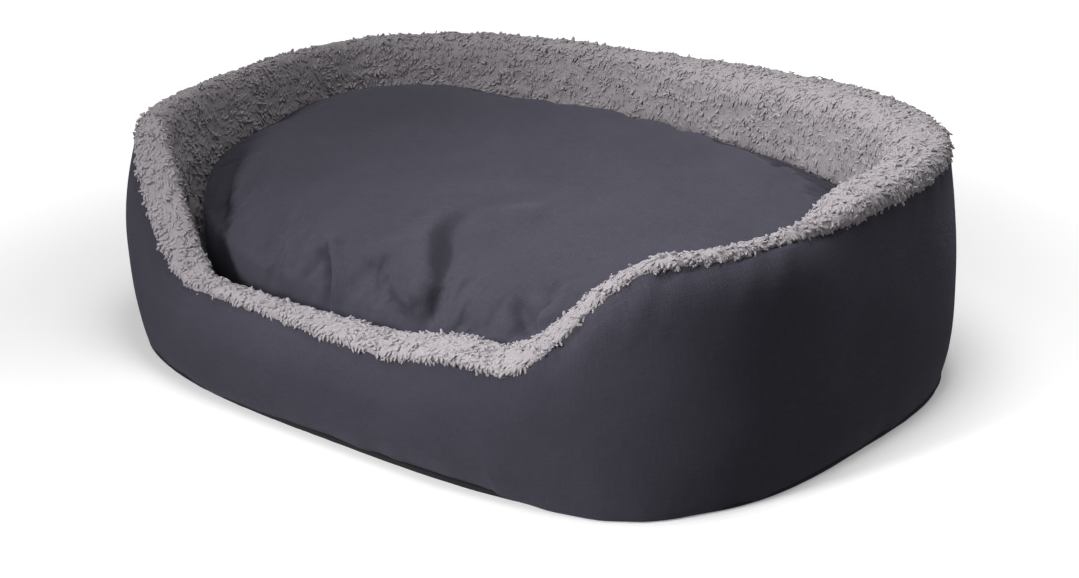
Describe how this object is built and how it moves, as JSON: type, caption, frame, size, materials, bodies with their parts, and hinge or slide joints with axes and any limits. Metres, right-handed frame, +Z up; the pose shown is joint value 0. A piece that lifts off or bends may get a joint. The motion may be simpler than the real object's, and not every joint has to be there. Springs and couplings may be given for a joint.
{
  "type": "pet cushion bed",
  "caption": "Padded oval pet bed with a low front entrance, a fleece-lined wall, a sewn base and a loose thick cushion with a zip underneath.",
  "frame": {"origin": "on the floor, under the middle of the bed", "axes": "+X along the bed to the right, +Y from the entrance to the back, +Z up"},
  "size_m": [0.7492, 0.5392, 0.2135],
  "materials": {
    "cover_fabric": "matte woven polyester, dark charcoal",
    "cushion_fabric": "matte woven polyester, dark slate",
    "fleece": "long curly fleece pile, light warm grey",
    "base_fabric": "matte black non-slip fabric with small rubber dots",
    "binding": "black woven tape",
    "filling": "white polyester fibre in a thin inner bag",
    "foam": "pale soft foam",
    "zip_tape": "black woven zip tape",
    "zip_coil": "black nylon coil",
    "zip_metal": "plated die-cast metal"
  },
  "bodies": {
    "bed": {"nonslip_base": "base_fabric", "base_binding": "binding", "floor_pad": "foam", "floor_lining": "cover_fabric", "wall_filling_right": "foam", "wall_filling_back": "foam", "wall_filling_left": "foam", "wall_filling_front": "foam", "outer_cover": "cover_fabric", "fleece_lining": "fleece"},
    "cushion": {"cushion_top_panel": "cushion_fabric", "cushion_base_panel_front": "cushion_fabric", "cushion_base_panel_rear": "cushion_fabric", "cushion_filling": "filling", "zip_tape_front": "zip_tape", "zip_tape_rear": "zip_tape", "zip_coil_front": "zip_coil", "zip_coil_rear": "zip_coil", "zip_stop_left": "zip_metal", "zip_stop_right": "zip_metal"},
    "slider": {"zip_slider": "zip_metal"},
    "pull": {"zip_pull": "zip_metal"}
  },
  "joints": [
    {"name": "cushion_lift", "type": "slide", "parent": "bed", "child": "cushion", "axis": [0, 0, 1], "range_m": [0, 0.35]},
    {"name": "zip_slide", "type": "slide", "parent": "cushion", "child": "slider", "axis": [1, 0, 0], "range_m": [-0.285, 0]},
    {"name": "pull_swing", "type": "hinge", "parent": "slider", "child": "pull", "pos_m": [0.1435, 0.15071, 0.03054], "axis": [0, 0.9285, 0.3714], "range_deg": [-75, 75]}
  ]
}
